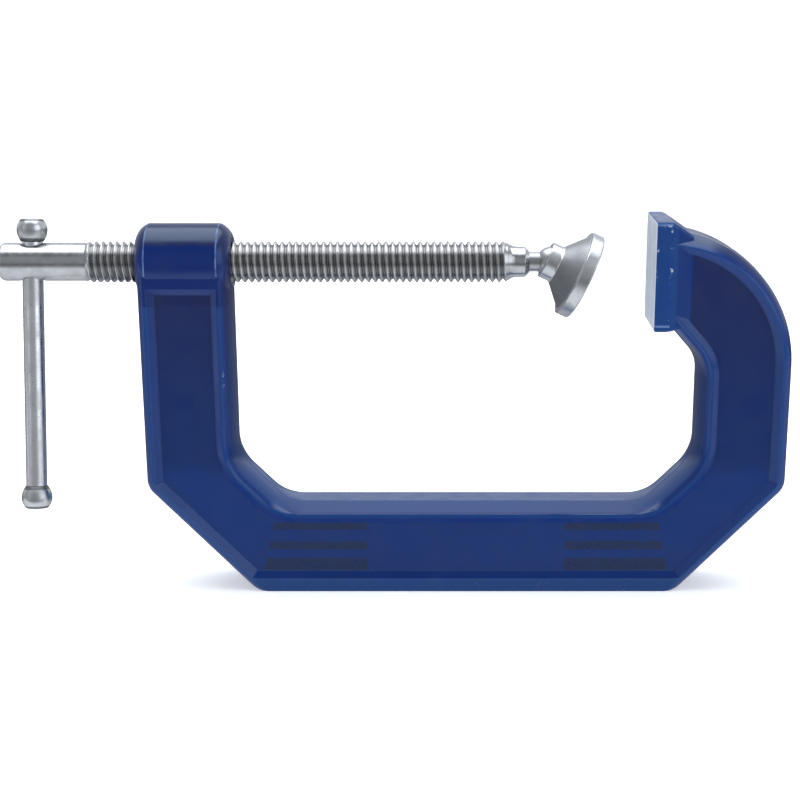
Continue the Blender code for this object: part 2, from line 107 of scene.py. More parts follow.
# Boss and anvil
BOSS_RADIUS = 11.9 * MM
BOSS_PROUD = 0.4 * MM  # past the upright at each end
BOSS_END_LENGTH = 3.9 * MM  # rounded part of each end, along the screw
BOSS_END_FALL = 5.6 * MM  # how far that part falls towards the screw
BOSS_CREASE = math.radians(20.0)  # where its rounding starts, which leaves a faint crease
BOSS_RIGHT_X = -INNER_X + BOSS_PROUD
BOSS_MIDDLE_X = (BOSS_LEFT_X + BOSS_RIGHT_X) / 2
HALF_BOSS = (BOSS_RIGHT_X - BOSS_LEFT_X) / 2
MOUTH_CHAMFER = 1.2 * MM  # countersink at each end of the hole
BORE_CLEARANCE = 0.25 * MM
ANVIL_OVERHANG = 2.3 * MM  # anvil face past the centre of the arm's bend
ANVIL_PLATE = 4.8 * MM
ANVIL_SHOULDER = 6.8 * MM  # length of the slope from the plate back to the arm
ANVIL_BELOW_AXIS = 19.7 * MM
ANVIL_ROUNDING = 0.9 * MM
SHOULDER_DROP = 4.6 * MM  # fall of the top of the slope
SHOULDER_RISE = 1.6 * MM
ANVIL_BOTTOM_Z = AXIS_Z - ANVIL_BELOW_AXIS
ANVIL_X = BEND_X - ANVIL_OVERHANG
PLATE_BACK_X = ANVIL_X + ANVIL_PLATE
SHOULDER_END_X = PLATE_BACK_X + ANVIL_SHOULDER

# Screw
SCREW_RADIUS = 6.35 * MM
PITCH = 25.4 / 12 * MM
THREAD_DEPTH = 1.15 * MM
RUNOUT_TURNS = 1.5
HEAD_RADIUS = 5.85 * MM
HEAD_LENGTH = 25.8 * MM
HEAD_ROUNDING = 1.6 * MM
HOLE_FLARE_WIDTH = 0.4 * MM  # softened mouth of the cross hole
HOLE_FLARE_DEPTH = 0.55 * MM
NOSE_RADIUS = 4.65 * MM
NOSE_LENGTH = 6.8 * MM
NOSE_CHAMFER = 1.3 * MM
FLARE_LENGTH = 3.2 * MM  # concave run from the thread down to the nose
ROOT_RADIUS = SCREW_RADIUS - THREAD_DEPTH
HEAD_END_X = HEAD_START_X + HEAD_LENGTH
THREAD_END_X = NOSE_END_X - NOSE_LENGTH

# Ball and pad
BALL_RADIUS = 4.7 * MM
NECK_RADIUS = 3.0 * MM
SOCKET_CLEARANCE = 0.25 * MM
SOCKET_LIP = 1.9 * MM  # how far the collar closes behind the centre of the ball
PAD_RADIUS = 13.6 * MM
PAD_RIM = 4.0 * MM
PAD_REACH = 11.7 * MM  # centre of the ball to the clamping face
PAD_EDGE = 0.5 * MM
PAD_SEAT_STEP = 1.4 * MM  # ledge where the cone meets the rim
PAD_SEAT_ROUNDING = 0.2 * MM
CONE_FOOT_ROUNDING = 1.2 * MM
COLLAR_RADIUS = 5.75 * MM
COLLAR_LENGTH = 3.6 * MM
COLLAR_ROUNDING = 0.4 * MM

# Tommy bar
BAR_RADIUS = 3.175 * MM
BAR_CLEARANCE = 0.35 * MM
BAR_BELOW_AXIS = 69.3 * MM  # screw axis to the lower knob as the bar hangs
KNOB_RADIUS = 4.65 * MM
KNOB_LENGTH = 6.9 * MM
KNOB_END = 0.72  # radius of a knob's ends as a share of its widest
KNOB_WIDEST = 0.55  # height of the widest place as a share of the length
KNOB_ROUNDING = 0.25 * MM

# Gaps between pieces that touch
SEAT_GAP = 0.3 * MM
FIT_GAP = 0.15 * MM

# Fineness
ARC_STEP = math.radians(3.0)
FLANK_STEPS = 14
THREAD_SIDES = 48
ROUND_SIDES = 96
KNOB_STEPS = 20
EDGE_STEPS = 5
LEAST_RADIUS = 0.3 * MM
CUT_PAST = 2.0 * MM  # how far a cutter runs past the face that it opens
WELD = 0.001 * MM  # points nearer than this become one
SMOOTH_ANGLE = math.radians(38.0)
CASTING_SMOOTH_ANGLE = math.radians(17.0)

# Camera: the photograph's view, 800 pixels square, with the picture's centre off to one side
PICTURE = 800
FOCAL_PIXELS = 1527
CENTRE_PIXEL_X = 450
SENSOR = 36.0
CAMERA_PLACE = (-0.00505, -0.46478, 0.18453)
CAMERA_PITCH = math.radians(15.0)
CLIP_START = 0.01


def arc(radius, start, end, centre=(0.0, 0.0)):
    """Points round a centre, from one angle to another."""
    count = max(2, round(abs(end - start) / ARC_STEP))
    angles = [start + (end - start) * index / count for index in range(count + 1)]
    return [(centre[0] + radius * math.cos(a), centre[1] + radius * math.sin(a)) for a in angles]


def rounded(corners):
    """Path through (x, z, radius) corners, each rounded by its radius; 0 keeps a corner sharp."""
    path = []
    for index, (x, z, radius) in enumerate(corners):
        corner = Vector((x, z))
        if radius == 0.0:
            path.append((x, z))
            continue
        before = (Vector(corners[index - 1][:2]) - corner).normalized()
        after = (Vector(corners[(index + 1) % len(corners)][:2]) - corner).normalized()
        half_angle = before.angle(after) / 2
        centre = corner + (before + after).normalized() * radius / math.sin(half_angle)
        first = corner + before * radius / math.tan(half_angle) - centre
        start = math.atan2(first.y, first.x)
        turn = math.copysign(math.pi - 2 * half_angle, after.cross(before))
        path += arc(radius, start, start + turn, centre)
    return path


def inset_corners(corners, insets):
    """Corners with the edge that leaves each one moved in by its own distance."""
    moved = []
    for index, (x, z, radius) in enumerate(corners):
        here = Vector((x, z))
        into = (here - Vector(corners[index - 1][:2])).normalized()
        out = (Vector(corners[(index + 1) % len(corners)][:2]) - here).normalized()
        first, second = insets[index - 1], insets[index]
        bend = into.cross(out)
        shift = (out * first - into * second) / bend
        if radius > 0.0:
            radius -= math.copysign((first + second) / 2, bend)
            radius = max(radius, LEAST_RADIUS)
        moved.append((x + shift.x, z + shift.y, radius))
    return moved


def mirrored_below(upper):
    """Profile points followed by their mirror image at negative heights."""
    return upper + [(radius, -height) for radius, height in reversed(upper)]


def loft(shape, rings):
    """Adds the faces between each ring of points and the next."""
    for near, far in zip(rings, rings[1:]):
        for index in range(len(near)):
            shape.faces.new((near[index - 1], near[index], far[index], far[index - 1]))


def mesh_from(name, shape):
    mesh = bpy.data.meshes.new(name)
    shape.to_mesh(mesh)
    shape.free()
    return mesh


def new_object(name, data):
    obj = bpy.data.objects.new(name, data)
    bpy.context.scene.collection.objects.link(obj)
    return obj


def turned_mesh(name, profile):
    """Skin turned about Z from (radius, height) points."""
    shape = bmesh.new()
    verts = [shape.verts.new((radius, 0.0, height)) for radius, height in profile]
    edges = [shape.edges.new(pair) for pair in zip(verts, verts[1:])]
    bmesh.ops.spin(
        shape,
        geom=verts + edges,
        cent=(0.0, 0.0, 0.0),
        axis=(0.0, 0.0, 1.0),
        angle=math.tau,
        steps=ROUND_SIDES,
        use_merge=True,
    )
    bmesh.ops.remove_doubles(shape, verts=shape.verts, dist=WELD)
    bmesh.ops.recalc_face_normals(shape, faces=shape.faces)
    return mesh_from(name, shape)


def along(direction, place):
    """Matrix that stands an object's Z axis along a direction, at a place."""
    turn = Vector(direction).to_track_quat("Z", "Y").to_matrix().to_4x4()
    return Matrix.Translation(place) @ turn


def apply_modifiers(obj):
    bpy.context.view_layer.update()
    graph = bpy.context.evaluated_depsgraph_get()
    result = bpy.data.meshes.new_from_object(obj.evaluated_get(graph))
    obj.modifiers.clear()
    obj.data = result


def boolean(obj, operation, mesh, matrix=None):
    """Joins another mesh to an object, or cuts it away, and keeps only the result."""
    tool = new_object(f"{obj.name}_tool", mesh)
    tool.matrix_world = matrix or Matrix.Identity(4)
    step = obj.modifiers.new(operation, "BOOLEAN")
    step.operation = operation
    step.solver = "EXACT"
    step.object = tool
    apply_modifiers(obj)
    bpy.data.objects.remove(tool)


def shade(obj, angle):
    """Smooth shading that keeps true edges, with normals that leave the flats flat."""
    for polygon in obj.data.polygons:
        polygon.use_smooth = True
    obj.data.set_sharp_from_angle(angle=angle)
    weighted = obj.modifiers.new("Normals", "WEIGHTED_NORMAL")
    weighted.keep_sharp = True
    apply_modifiers(obj)


def finish_piece(obj, material, body, node, angle=SMOOTH_ANGLE):
    """Shades a piece, gives it its material, and puts it in the place of a solid."""
    shade(obj, angle)
    obj.data.materials.clear()
    obj.data.materials.append(material)
    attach(obj, body)
    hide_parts(node)


# Frame

# Edges of the outline below, each numbered by the corner that it leaves
FOOT = 0
ARM_TOP = 3
ARM_END = 4
SPINE_TOP = 8
BOSS_END = 11
SOFT_EDGES = (5, 6, 7, 9, 10)  # the inner sides

# (distance from the rim's inner lip, depth) from the lip down to the recess floor
RECESS_SECTION = (
    (0.0, 0.0),
    (LIP_LEAN, LIP_DEPTH),
    (RECESS_LEAN - LIP_LEAN, RECESS_DEPTH - LIP_DEPTH),
    (RECESS_LEAN, RECESS_DEPTH),
)


def frame_corners():
    """Corners of the casting, anticlockwise from the front, starting at the foot."""
    outer, inner = OUTER_CORNER_RADIUS, INNER_CORNER_RADIUS
    foot_x = HALF_LENGTH - OUTER_CHAMFER
    foot_z = -DRAFT - FOOT_CUT
    spine_x = INNER_X - INNER_CHAMFER
    shoulder_z = SPINE_HEIGHT + INNER_CHAMFER
    arm_end_x = BEND_X - ANVIL_OVERHANG / 2
    return [
        (-foot_x, foot_z, outer),
        (foot_x, foot_z, outer),
        (HALF_LENGTH, OUTER_CHAMFER, outer),
        (HALF_LENGTH, ARM_TOP_Z, ARM_RADIUS),
        (arm_end_x, ARM_TOP_Z, 0.0),
        (arm_end_x, AXIS_Z - SLOPE_TOP_BELOW_AXIS, 0.0),
        (INNER_X, AXIS_Z - SLOPE_END_BELOW_AXIS, SLOPE_RADIUS),
        (INNER_X, shoulder_z, inner),
        (spine_x, SPINE_HEIGHT, inner),
        (-spine_x, SPINE_HEIGHT, inner),
        (-INNER_X, shoulder_z, inner),
        (-INNER_X, AXIS_Z, 0.0),
        (-HALF_LENGTH, AXIS_Z, 0.0),
        (-HALF_LENGTH, OUTER_CHAMFER, outer),
    ]


def rolled(depth, width, reach):
    """How far a rounded edge falls back: its whole width in front, nothing past its reach."""
    fall = max(0.0, 1.0 - depth / reach)
    return width * (1.0 - math.sqrt(1.0 - fall**2))


def flank_insets(depth, corners):
    """Insets of all edges on the flank: rims roll over, inner ones slowly, and the arm slopes."""
    draft = DRAFT * (1.0 - depth / HALF_DEPTH)
    insets = [draft + rolled(depth, RIM_WIDTH, OUTER_ROLL)] * len(corners)
    for edge in SOFT_EDGES:
        insets[edge] = rolled(depth, DRAFT + RIM_WIDTH, HALF_DEPTH)
    for edge in (FOOT, SPINE_TOP):
        insets[edge] = draft + rolled(depth, EDGE_ROUNDING, EDGE_ROUNDING)
    sloping = max(0.0, 1.0 - depth / ARM_SLOPE_DEPTH) ** ARM_SLOPE_BEND
    insets[ARM_TOP] = (DRAFT + RIM_WIDTH) * sloping
    insets[ARM_END] = 0.0
    return insets


def recess_insets(reach, corners):
    """Insets of all edges in the recess, where rims differ in width."""
    rims = [DRAFT + RIM_WIDTH] * len(corners)
    rims[FOOT] = DRAFT + FOOT_RIM_WIDTH + FOOT_CUT
    rims[SPINE_TOP] = DRAFT + SPINE_RIM_WIDTH
    rims[BOSS_END] = RECESS_BELOW_AXIS
    insets = [rim + reach for rim in rims]
    # The anvil covers the end of the arm, so the recess stops short in it with an upright wall.
    insets[ARM_END] = ARM_END_RIM_WIDTH
    return insets


def limb_mesh():
    """The C itself: outlines lofted from the front floor over the parting line to the back."""
    corners = frame_corners()
    half = [([GROOVE_DEPTH] * len(corners), HALF_DEPTH)]
    for index in range(FLANK_STEPS):
        forward = math.sin(math.pi / 2 * index / FLANK_STEPS)
        depth = (HALF_DEPTH - HALF_GROOVE) * (1.0 - forward)
        half.append((flank_insets(depth, corners), depth))
    half += [(recess_insets(reach, corners), depth) for reach, depth in RECESS_SECTION]
    steps = [(insets, depth - HALF_DEPTH) for insets, depth in reversed(half)]
    steps += [(insets, HALF_DEPTH - depth) for insets, depth in half[1:]]
    shape = bmesh.new()
    rings = []
    for insets, y in steps:
        outline = rounded(inset_corners(corners, insets))
        rings.append([shape.verts.new((x, y, max(z, 0.0))) for x, z in outline])
    loft(shape, rings)
    shape.faces.new(rings[0])
    shape.faces.new(rings[-1])
    bmesh.ops.recalc_face_normals(shape, faces=shape.faces)
    return mesh_from("limb", shape)


def boss_mesh():
    """The barrel round the screw, with ends that round over from a faint crease."""
    left_over = math.pi / 2 - BOSS_CREASE
    count = round(left_over / ARC_STEP)
    rounding = []
    for index in range(count + 1):
        angle = BOSS_CREASE + left_over * index / count
        run = (math.sin(angle) - math.sin(BOSS_CREASE)) / (1.0 - math.sin(BOSS_CREASE))
        fall = (math.cos(BOSS_CREASE) - math.cos(angle)) / math.cos(BOSS_CREASE)
        height = HALF_BOSS - BOSS_END_LENGTH * (1.0 - run)
        rounding.append((BOSS_RADIUS - BOSS_END_FALL * fall, height))
    return turned_mesh("boss", mirrored_below([(0.0, HALF_BOSS), *reversed(rounding)]))


def anvil_mesh():
    """The anvil plate with rounded edges, and a shoulder that slopes back to the arm."""
    height = ANVIL_TOP_Z - ANVIL_BOTTOM_Z
    depth = 2 * HALF_ANVIL_DEPTH
    shape = bmesh.new()
    bmesh.ops.create_cube(shape, size=1.0)
    bmesh.ops.scale(shape, vec=(ANVIL_PLATE, depth, height), verts=shape.verts)
    back = max(shape.faces, key=lambda face: face.calc_center_median().x)
    grown = bmesh.ops.extrude_discrete_faces(shape, faces=[back])["faces"][0]
    end_depth = 2 * (HALF_DEPTH - RECESS_DEPTH - FIT_GAP)
    end_height = height - SHOULDER_DROP - SHOULDER_RISE
    shrink = (1.0, end_depth / depth, end_height / height)
    bmesh.ops.scale(shape, vec=shrink, verts=grown.verts)
    slope = (ANVIL_SHOULDER, 0.0, (SHOULDER_RISE - SHOULDER_DROP) / 2)
    bmesh.ops.translate(shape, vec=slope, verts=grown.verts)
    bmesh.ops.recalc_face_normals(shape, faces=shape.faces)
    kept = set(grown.edges)
    bmesh.ops.bevel(
        shape,
        geom=[edge for edge in shape.edges if edge not in kept],
        offset=ANVIL_ROUNDING,
        segments=EDGE_STEPS,
        affect="EDGES",
        profile=0.5,
    )
    middle = (ANVIL_X + ANVIL_PLATE / 2, 0.0, (ANVIL_TOP_Z + ANVIL_BOTTOM_Z) / 2)
    bmesh.ops.translate(shape, vec=middle, verts=shape.verts)
    return mesh_from("anvil", shape)


def bore_mesh():
    """Cutter for the hole through the boss, countersunk at both ends."""
    bore = SCREW_RADIUS + BORE_CLEARANCE
    wide = SCREW_RADIUS + MOUTH_CHAMFER + CUT_PAST
    reach = HALF_BOSS + CUT_PAST
    level = reach - (wide - bore)
    return turned_mesh("bore", mirrored_below([(0.0, reach), (wide, reach), (bore, level)]))


def build_frame(material):
    casting = new_object("frame_casting", limb_mesh())
    along_screw = along((1.0, 0.0, 0.0), (BOSS_MIDDLE_X, 0.0, AXIS_Z))
    boolean(casting, "UNION", anvil_mesh())
    boolean(casting, "UNION", boss_mesh(), along_screw)
    boolean(casting, "DIFFERENCE", bore_mesh(), along_screw)
    finish_piece(casting, material, "frame", "frame", CASTING_SMOOTH_ANGLE)


# Screw

# One turn of the thread: (place along the pitch, rise from root to crest), both as shares
THREAD_FORM = (
    (0.0, 0.0),
    (0.08, 0.05),
    (0.39, 0.88),
    (0.46, 1.0),
    (0.54, 1.0),
    (0.61, 0.88),
    (0.92, 0.05),
)


def screw_radius(x, rise):
    """Radius of the screw, where the thread fades into the head and into the nose's flare."""
    run = min(max((x - THREAD_END_X) / FLARE_LENGTH, 0.0), 1.0)
    plain = NOSE_RADIUS + (HEAD_RADIUS - NOSE_RADIUS) * (1.0 - run) ** 2
    rising = (x - HEAD_END_X) / (RUNOUT_TURNS * PITCH)
    falling = (THREAD_END_X - x) / (PITCH / 2)
    fade = min(max(min(rising, falling), 0.0), 1.0)
    thread = ROOT_RADIUS + THREAD_DEPTH * rise
    return plain + (thread - plain) * fade


def screw_mesh():
    """Head, right-hand thread and nose in one closed skin, lofted round the helix."""
    shape = bmesh.new()

    def point(x, side, radius):
        angle = math.tau * side / THREAD_SIDES
        return shape.verts.new((x, radius * math.cos(angle), AXIS_Z + radius * math.sin(angle)))

    def helix(offset, rise, steps):
        places = [start + PITCH * (step / THREAD_SIDES + offset) for step in range(steps + 1)]
        return [point(x, step, screw_radius(x, rise)) for step, x in enumerate(places)]

    def ring(x, radius):
        return [point(x, side, radius) for side in range(THREAD_SIDES)]

    start = HEAD_END_X - PITCH
    turns = math.ceil((THREAD_END_X - start) / PITCH)
    steps = turns * THREAD_SIDES
    rows = [helix(*THREAD_FORM[0], steps + THREAD_SIDES)]
    rows += [helix(offset, rise, steps) for offset, rise in THREAD_FORM[1:]]
    roots = rows[0]
    for low, high in zip(rows, [*rows[1:], roots[THREAD_SIDES:]]):
        for step in range(steps):
            shape.faces.new((low[step], low[step + 1], high[step + 1], high[step]))

    # Plain rings carry on from the thread to the end of the head and to the end of the nose.
    end = start + (turns + 1) * PITCH + SEAT_GAP
    centre = (HEAD_START_X + HEAD_ROUNDING, HEAD_RADIUS - HEAD_ROUNDING)
    head = [(start - SEAT_GAP, HEAD_RADIUS), *arc(HEAD_ROUNDING, math.pi / 2, math.pi, centre)]
    nose = [
        (end, screw_radius(end, 0.0), 0.0),
        (max(THREAD_END_X + FLARE_LENGTH, end + SEAT_GAP), NOSE_RADIUS, 0.0),
        (NOSE_END_X - NOSE_CHAMFER, NOSE_RADIUS, LEAST_RADIUS),
        (NOSE_END_X, NOSE_RADIUS - NOSE_CHAMFER, 0.0),
    ]
    lefts = [ring(*place) for place in head]
    rights = [ring(*place) for place in rounded(nose)]
    for rings in (lefts, rights):
        loft(shape, rings)
        shape.faces.new(rings[-1])

    left, right = lefts[0], rights[0]
    last = THREAD_SIDES - 1
    for side in range(last):
        shape.faces.new((left[side], left[side + 1], roots[side + 1], roots[side]))
        place = steps + side + 1
        after = (side + 2) % THREAD_SIDES
        shape.faces.new((roots[place], roots[place + 1], right[after], right[side + 1]))
    # Each end of the helix leaves a step along the bar, which one face takes in.
    left_step = [left[last], left[0], *[row[0] for row in rows], roots[last + 1], roots[last]]
    right_step = [roots[steps], roots[steps + 1], right[1], right[0], roots[-1]]
    right_step += [row[-1] for row in reversed(rows[1:])]
    shape.faces.new(left_step)
    shape.faces.new(right_step)
    bmesh.ops.recalc_face_normals(shape, faces=shape.faces)
    return mesh_from("screw", shape)


def build_screw(material):
    screw = new_object("screw_bar", screw_mesh())
    hole = BAR_RADIUS + BAR_CLEARANCE
    reach = HEAD_RADIUS + CUT_PAST
    level = HEAD_RADIUS - HOLE_FLARE_DEPTH
    wide = hole + HOLE_FLARE_WIDTH + reach - level
    upper = [(0.0, reach), (wide, reach), (hole, level)]
    cross_hole = turned_mesh("cross_hole", mirrored_below(upper))
    boolean(screw, "DIFFERENCE", cross_hole, along(BAR_AXIS, (BAR_X, 0.0, AXIS_Z)))
    finish_piece(screw, material, "screw", "screw")


# Ball, pad and tommy bar


def build_ball_stud(material):
    reach = BALL_X - NOSE_END_X
    meet = -math.acos(NECK_RADIUS / BALL_RADIUS)
    profile = [*arc(BALL_RADIUS, math.pi / 2, meet), (NECK_RADIUS, -reach), (0.0, -reach)]
    stud = new_object("ball_and_neck", turned_mesh("ball", profile))
    stud.matrix_world = along((1.0, 0.0, 0.0), (BALL_X, 0.0, AXIS_Z))
    finish_piece(stud, material, "ball_stud", "ball_stud")


def build_pad(material):
    socket = BALL_RADIUS + SOCKET_CLEARANCE
    rim_back = PAD_REACH - PAD_RIM
    lip_radius = math.sqrt(socket**2 - SOCKET_LIP**2)
    outside = [
        (0.0, PAD_REACH, 0.0),
        (PAD_RADIUS, PAD_REACH, PAD_EDGE),
        (PAD_RADIUS, rim_back, PAD_EDGE),
        (PAD_RADIUS - PAD_SEAT_STEP, rim_back, PAD_SEAT_ROUNDING),
        (COLLAR_RADIUS, COLLAR_LENGTH - SOCKET_LIP, CONE_FOOT_ROUNDING),
        (COLLAR_RADIUS, -SOCKET_LIP, COLLAR_ROUNDING),
        (lip_radius, -SOCKET_LIP, 0.0),
    ]
    inside = arc(socket, -math.asin(SOCKET_LIP / socket), math.pi / 2)
    pad = new_object("pressure_pad", turned_mesh("pad", rounded(outside) + inside[1:]))
    pad.matrix_world = along(PAD_AXIS, (BALL_X, 0.0, AXIS_Z))
    finish_piece(pad, material, "swivel_pad", "swivel_pad")


def knob_profile():
    """Barrel, fuller towards its outer end, with softened rims."""
    barrel = []
    for index in range(KNOB_STEPS + 1):
        height = 1.0 - index / KNOB_STEPS
        span = 1.0 - KNOB_WIDEST if height > KNOB_WIDEST else KNOB_WIDEST
        fall = ((height - KNOB_WIDEST) / span) ** 2
        radius = KNOB_RADIUS * (1.0 - (1.0 - KNOB_END) * fall)
        rounding = KNOB_ROUNDING if index in (0, KNOB_STEPS) else 0.0
        barrel.append((radius, height * KNOB_LENGTH, rounding))
    return rounded([(0.0, KNOB_LENGTH, 0.0), *barrel, (0.0, 0.0, 0.0)])


def build_handle(material, knob_material):
    centre = Vector((BAR_X, 0.0, AXIS_Z))
    upper_seat = HEAD_RADIUS + SEAT_GAP
    lower_seat = -BAR_BELOW_AXIS
    top, bottom = upper_seat - FIT_GAP, lower_seat + FIT_GAP
    profile = [(0.0, top), (BAR_RADIUS, top), (BAR_RADIUS, bottom), (0.0, bottom)]
    bar = new_object("tommy_bar", turned_mesh("bar", profile))
    upper = new_object("tommy_knob_upper", turned_mesh("knob", knob_profile()))
    lower = new_object("tommy_knob_lower", turned_mesh("knob", knob_profile()))
    bar.matrix_world = along(BAR_AXIS, centre)
    upper.matrix_world = along(BAR_AXIS, centre + BAR_AXIS * upper_seat)
    lower.matrix_world = along(-BAR_AXIS, centre + BAR_AXIS * lower_seat)
    finish_piece(bar, material, "handle", "handle_bar")
    finish_piece(upper, knob_material, "handle", "handle_knob_upper")
    finish_piece(lower, knob_material, "handle", "handle_knob_lower")


# Materials


class Nodes:
    """Shorthand for a node tree: each call adds nodes, and links or sets their inputs."""

    # Colour sockets of a mix node, whose names are shared by its sockets for numbers and vectors
    FIRST_COLOUR = 6
    SECOND_COLOUR = 7
    MIXED_COLOUR = 2

    def __init__(self, owner):
        owner.use_nodes = True
        self.owner = owner
        self.tree = owner.node_tree

    def put(self, socket, value):
        if isinstance(value, bpy.types.NodeSocket):
            self.tree.links.new(value, socket)
        else:
            socket.default_value = value

    def add(self, kind, inputs=(), output=0, **settings):
        node = self.tree.nodes.new(kind)
        for key, value in settings.items():
            setattr(node, key, value)
        for key, value in dict(inputs).items():
            self.put(node.inputs[key], value)
        return node.outputs[output]

    def finish(self, shader, inputs):
        """Fills the inputs of the shader that the tree came with, and gives back its owner."""
        for key, value in inputs.items():
            self.put(self.tree.nodes[shader].inputs[key], value)
        return self.owner

    def place(self, kind="Object"):
        return self.add("ShaderNodeTexCoord", output=kind)

    def axes(self, vector):
        node = self.tree.nodes.new("ShaderNodeSeparateXYZ")
        self.put(node.inputs[0], vector)
        return node.outputs

    def stretched(self, vector, scale):
        return self.add("ShaderNodeVectorMath", {0: vector, 1: scale}, operation="MULTIPLY")

    def math(self, operation, *values):
        return self.add("ShaderNodeMath", dict(enumerate(values)), operation=operation)

    def times(self, first, second):
        return self.math("MULTIPLY", first, second)

    def off(self, value, line):
        """Distance of a value from a line, either way."""
        return self.math("ABSOLUTE", self.math("SUBTRACT", value, line))

    def radius(self, first, second):
        squares = [self.math("POWER", value, 2.0) for value in (first, second)]
        return self.math("SQRT", self.math("ADD", *squares))

    def below(self, value, limit):
        return self.math("LESS_THAN", value, limit)

    def above(self, value, limit):
        return self.math("GREATER_THAN", value, limit)

    def near(self, value, line, reach):
        """Mask that is full on a line and fades out over the outer half of its reach."""
        return self.ramp(self.off(value, line), reach / 2, reach, 1.0, 0.0)

    def all_of(self, first, *others):
        """Mask where all the given masks hold."""
        for other in others:
            first = self.math("MULTIPLY", first, other)
        return first

    def any_of(self, first, *others):
        """Mask where at least one of the given masks holds."""
        for other in others:
            first = self.math("MAXIMUM", first, other)
        return first

    def ramp(self, value, low, high, to_low=0.0, to_high=1.0):
        """Smooth step from one value to another, between two limits."""
        inputs = {"Value": value, "From Min": low, "From Max": high}
        inputs |= {"To Min": to_low, "To Max": to_high}
        return self.add("ShaderNodeMapRange", inputs, interpolation_type="SMOOTHSTEP")

    def mix(self, factor, first, second):
        node = self.tree.nodes.new("ShaderNodeMix")
        node.data_type = "RGBA"
        self.put(node.inputs["Factor"], factor)
        self.put(node.inputs[self.FIRST_COLOUR], first)
        self.put(node.inputs[self.SECOND_COLOUR], second)
        return node.outputs[self.MIXED_COLOUR]

    def noise(self, place, scale, detail, rough=0.5):
        inputs = {"Vector": place, "Scale": scale, "Detail": detail, "Roughness": rough}
        return self.add("ShaderNodeTexNoise", inputs)

    def patches(self, place, scale, detail, *limits):
        """Noise that is drawn out between the limits of a ramp."""
        return self.ramp(self.noise(place, scale, detail), *limits)

    def bump(self, height, strength, distance):
        inputs = {"Height": height, "Strength": strength, "Distance": distance}
        return self.add("ShaderNodeBump", inputs)

    def by_angle(self, opposite, adjacent, levels):
        """Grey by the angle of a direction, from (degrees, level) stops round a full turn."""
        angle = self.math("ARCTAN2", opposite, adjacent)
        share = self.math("MULTIPLY_ADD", angle, 1.0 / math.tau, 0.5)
        ramp = self.tree.nodes.new("ShaderNodeValToRGB")
        self.put(ramp.inputs["Fac"], share)
        stops = ramp.color_ramp.elements
        while len(stops) > 1:
            stops.remove(stops[-1])
        for degrees, level in levels:
            stops.new((degrees + 180.0) / 360.0).color = (level, level, level, 1.0)
        stops.remove(stops[0])
        return ramp.outputs["Color"]


def new_material(name):
    return Nodes(bpy.data.materials.new(name))


def finish_material(nodes, inputs):
    return nodes.finish("Principled BSDF", inputs)


# Enamel: colours
BLUE = (0.002, 0.018, 0.128, 1.0)
BLUE_CLOUD = (0.003, 0.025, 0.154, 1.0)
# Painted shade: the darker blue of the boss
SHADED_BOSS_BLUE = (0.0012, 0.0135, 0.112, 1.0)
# Painted light: the lighter blue of the rims and flanks
LIT_RIM_BLUE = (0.005, 0.037, 0.172, 1.0)
PANEL_BLUE = (0.0015, 0.014, 0.09, 1.0)
PANEL_BROWN = (0.012, 0.013, 0.058, 1.0)
STRIPE_INK = (0.008, 0.016, 0.076, 1.0)
# Painted highlight: the light blue of the lines on the boss's creases and across the anvil plate
HIGHLIGHT_BLUE = (0.12, 0.2, 0.42, 1.0)
CHIPPED = (0.42, 0.44, 0.48, 1.0)
# Painted reflection: pale colours of the ground clamping face
GROUND_REFLECTION_DARK = (0.52, 0.56, 0.65, 1.0)
GROUND_REFLECTION_LIGHT = (0.8, 0.85, 0.94, 1.0)
SHEEN_TINT = (0.74, 0.94, 1.0, 1.0)
PAINT_IOR = 1.48

# Enamel: noise as waves to the metre and detail, then the limits of the ramp that draws it out,
# and the values that the ramp runs between where these aren't 0 and 1
CLOUDS = (35.0, 4.0)
INK_WEAR = (900.0, 5.0, 0.25, 0.42)
CHIP_PATCH = (55.0, 2.0, 0.62, 0.76)
CHIP_SPECK = (900.0, 4.0, 0.54, 0.64)
PLATE_WEAR = (220.0, 2.0, 0.52, 0.6)
# Patches that break up the painted highlight lines
HIGHLIGHT_PATCHES = (300.0, 3.0, 0.34, 0.56, 0.15, 0.75)
ENAMEL_GLOSS = (160.0, 5.0, 0.3, 0.7, 0.16, 0.26)
PEEL = (700.0, 2.0)
WAVES = (110.0, 2.0)
GRAIN = (1.0, 3.0)
GRAIN_SCALE = (0.0, 700.0, 9000.0)  # the clamping face is ground along its depth
SHARP_EDGE = (0.53, 0.6)  # pointiness at which an edge starts to chip, and chips fully

# Enamel: sizes and shares
PANEL_FOOT_Z = (36.0 * MM, 44.0 * MM)  # heights between which the panels' shade comes in
PANEL_BROWN_Z = (50.0 * MM, 100.0 * MM)  # and turns brown
PANEL_SHARE = 0.7
PEEL_SHARE = 0.25  # height of the fine orange peel against the waves
CHIP_DEPTH = 0.6  # also against the waves
INK_DULLNESS = 0.12  # roughness that the ink adds
ENAMEL_BUMP = (0.12, 0.4 * MM)  # strength and distance
CHIP_REACH = 0.7 * MM  # of chips on each side of the anvil plate's edges
HALF_HIGHLIGHT_LINE = 0.45 * MM  # half the width of the painted highlight lines across the anvil plate
FOOT_HIGHLIGHT_RISE = 1.9 * MM  # of the lower painted highlight line above the plate's lower edge
HALF_CREASE = 0.3 * MM  # half the width of the painted highlight on the boss's creases
CREASE_BELOW_AXIS = 2.5 * MM  # how far down the boss it shows
BARE_REFLECTION_DEPTH = 0.15 * MM  # how far the unpainted clamping face, pale as a painted reflection, runs into its rounded edges
PLATE_TOP_Z = ANVIL_TOP_Z - ANVIL_ROUNDING
PLATE_FOOT_Z = ANVIL_BOTTOM_Z + FOOT_HIGHLIGHT_RISE

